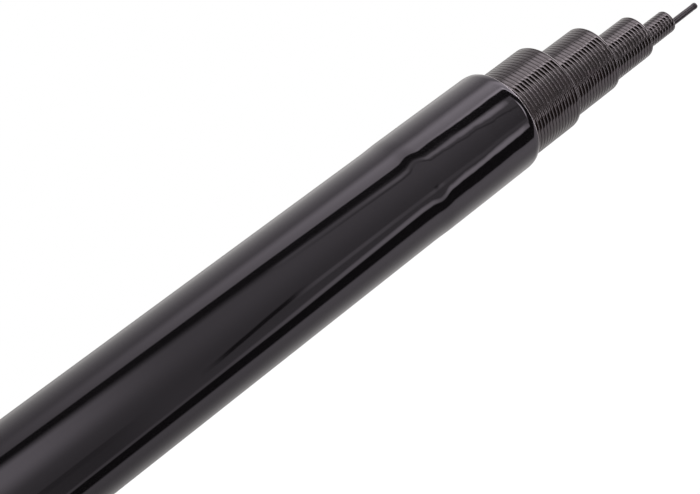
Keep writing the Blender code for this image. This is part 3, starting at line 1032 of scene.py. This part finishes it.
# %% Turn the head
cap_long, _, head_radius = spread("butt_cap")
shoulder = 8.0 * MM
groove_radius = 10.44 * MM
recess_radius = 11.3 * MM
recess_deep = 2.3 * MM
line_radius = 12.8 * MM
line_deep = 0.10 * MM
edge_round = 0.9 * MM
head_outline = [
    (0, recess_deep), (recess_radius - 0.15 * MM, recess_deep), (recess_radius, recess_deep - 0.15 * MM),
    (recess_radius, 0.25 * MM), (recess_radius + 0.2 * MM, 0.0),
    (line_radius - 0.2 * MM, 0.0), (line_radius - 0.12 * MM, line_deep),
    (line_radius + 0.12 * MM, line_deep), (line_radius + 0.2 * MM, 0.0),
]
head_outline += rounded(head_radius - edge_round, edge_round, edge_round, -90, 0, 6)
head_outline += rounded(head_radius - edge_round, shoulder - edge_round, edge_round, 0, 90, 6)
head_outline += [(groove_radius - 1.0 * MM, shoulder), (0, shoulder)]
head = turn_piece("cap_head", head_outline, 240, closed=False)
print(f"head: {2 * head_radius / MM:.1f} mm across, {len(head_outline)} corners in its outline")

# %% Flute the head
FLUTES = 24
flute_radius = 1.3 * MM
flute_deep = 0.6 * MM
flute_centre = head_radius + flute_radius - flute_deep
cutters = []
for flute in range(FLUTES):
    turn_to = math.tau * (flute + 0.5) / FLUTES
    let_go()
    bpy.ops.mesh.primitive_cylinder_add(
        vertices=24, radius=flute_radius, depth=3 * shoulder,
        location=(flute_centre * math.cos(turn_to), flute_centre * math.sin(turn_to), shoulder / 2),
    )
    cutters.append(bpy.context.object)
let_go()
for cutter in cutters:
    cutter.select_set(True)
bpy.context.view_layer.objects.active = cutters[0]
bpy.ops.object.join()
bars = bpy.context.object
bpy.ops.object.transform_apply(location=True, rotation=True, scale=True)


def carve(piece, other, operation):
    """Adds another mesh to a piece or takes it away, and removes the other."""
    pick_up(piece)
    cut = piece.modifiers.new("carve", "BOOLEAN")
    cut.operation = operation
    cut.object = other
    cut.solver = "EXACT"
    bpy.ops.object.modifier_apply(modifier="carve")
    bpy.data.objects.remove(other)


carve(head, bars, "DIFFERENCE")
soften = head.modifiers.new("soften", "BEVEL")
soften.limit_method = "ANGLE"
soften.angle_limit = math.radians(32)
soften.width = 0.12 * MM
soften.segments = 2
bpy.ops.object.modifier_apply(modifier="soften")
print("head:", len(head.data.polygons), "faces with", FLUTES, "flutes")

# %% Wind the plug and join it to the head
plug_radius = 12.34 * MM
plug_root = 0.40 * MM
low_root = plug_radius - plug_root
plug_low = 11.0 * MM
plug_turns = 5
plug_top = plug_low + plug_turns * THREAD
groove_top = 10.2 * MM
stem_hole = 4.3 * MM
hole_floor = 14.0 * MM
overlap = 1.0 * MM
plug = wind_outline("cap_plug", thread_outline(plug_radius, -plug_root, 0.08), THREAD, plug_turns, 144)
bpy.ops.transform.translate(value=(0, 0, plug_low))
close_tube(plug, plug_top, [
    (low_root, plug_top + 0.3 * MM), (low_root, cap_long - 0.3 * MM), (low_root - 0.3 * MM, cap_long),
    (stem_hole + 0.3 * MM, cap_long), (stem_hole, cap_long - 0.3 * MM),
    (stem_hole, hole_floor + 0.2 * MM), (stem_hole - 0.2 * MM, hole_floor), (0.3 * MM, hole_floor),
    (0.3 * MM, shoulder - overlap), (groove_radius, shoulder - overlap),
    (groove_radius, groove_top - 0.2 * MM), (groove_radius + 0.2 * MM, groove_top),
    (low_root - 0.2 * MM, groove_top), (low_root, groove_top + 0.2 * MM), (low_root, plug_low - 0.25 * MM),
])
carve(head, plug, "UNION")
bpy.ops.object.mode_set(mode="EDIT")
tidy_shell()
lay(head, "butt_cap")
finish_piece(head, "cap", [anodised], ["butt_cap"], smooth=30)

# %% [markdown]
# ## The rubber parts
# Three rubber pieces finish the butt. The bumper is what the rod stands on: a disc with raised rings
# for grip, all in one plane so that it stands flat. The seal is a ring of round section in the plug's
# groove. The cushion sits on the plug's end, and the closed sections land on it.


# %% Mix the rubber
def rubber_finish():
    """The finish of all three rubber parts."""
    material, tree, shader, place = new_finish("moulded_rubber")
    dust = grain(tree, place, 160, detail=6.0, roughness=0.65)
    pebble = grain(tree, place, 5200, detail=2.0)
    black = (0.012, 0.012, 0.012, 1)
    dusty = (0.034, 0.033, 0.032, 1)
    set_inputs(tree, shader, {
        "Base Color": mix_colours(tree, fade(tree, dust, 0.42, 0.72), black, dusty),
        "Roughness": fade(tree, dust, 0.3, 0.7, 0.62, 0.82),
        "Specular IOR Level": 0.35,
        "Normal": emboss(tree, pebble, 0.02 * MM),
    })
    return material


rubber = rubber_finish()

# %% Turn the bumper
bumper_long, _, bumper_radius = spread("butt_bumper")
groove_deep = 0.45 * MM
bumper_outline = [
    (0, 0.6 * MM), (1.6 * MM, 0.6 * MM), (2.0 * MM, 0.5 * MM), (2.3 * MM, 0.08 * MM), (2.5 * MM, 0),
]
for groove_at in (4.2 * MM, 6.4 * MM, 8.6 * MM):
    bumper_outline += [
        (groove_at - 0.5 * MM, 0), (groove_at - 0.38 * MM, 0.06 * MM), (groove_at - 0.25 * MM, groove_deep),
        (groove_at + 0.25 * MM, groove_deep), (groove_at + 0.38 * MM, 0.06 * MM), (groove_at + 0.5 * MM, 0),
    ]
bumper_outline += rounded(bumper_radius - 0.5 * MM, 0.5 * MM, 0.5 * MM, -90, 0, 5)
bumper_outline += rounded(bumper_radius - 0.3 * MM, bumper_long - 0.3 * MM, 0.3 * MM, 0, 90, 3)
bumper_outline += [(0, bumper_long)]
bumper = turn_piece("bumper_pad", bumper_outline, 128, closed=False)
lay(bumper, "butt_bumper")
finish_piece(bumper, "cap", [rubber], ["butt_bumper"])

# %% Turn the seal
seal_long, _, seal_radius = spread("cap_seal")
seal_half = seal_long / 2
seal = turn_piece("seal_ring", rounded(seal_radius - seal_half, seal_half, seal_half, 0, 345, 23), 144)
lay(seal, "cap_seal")
finish_piece(seal, "seal", [rubber], ["cap_seal"])

# %% Turn the cushion
cushion_long, stem, cushion_radius = spread("cap_cushion")
back = 6.0 * MM
cushion_outline = [(0, 0), (stem - 0.8 * MM, 0), (stem, 0.9 * MM)]
cushion_outline += [(stem, back - 0.2 * MM), (stem + 0.2 * MM, back)]
cushion_outline += rounded(cushion_radius - 0.3 * MM, back + 0.3 * MM, 0.3 * MM, -90, 0, 3)
cushion_outline += rounded(cushion_radius - 0.7 * MM, cushion_long - 0.7 * MM, 0.7 * MM, 0, 90, 5)
cushion_outline += [
    (9.4 * MM, cushion_long), (9.2 * MM, cushion_long - 0.25 * MM),
    (8.4 * MM, cushion_long - 0.25 * MM), (8.2 * MM, cushion_long),
    (3.2 * MM, cushion_long), (2.6 * MM, cushion_long - 0.5 * MM), (0, cushion_long - 0.6 * MM),
]
cushion = turn_piece("cushion_pad", cushion_outline, 128, closed=False)
lay(cushion, "cap_cushion")
finish_piece(cushion, "cap", [rubber], ["cap_cushion"])
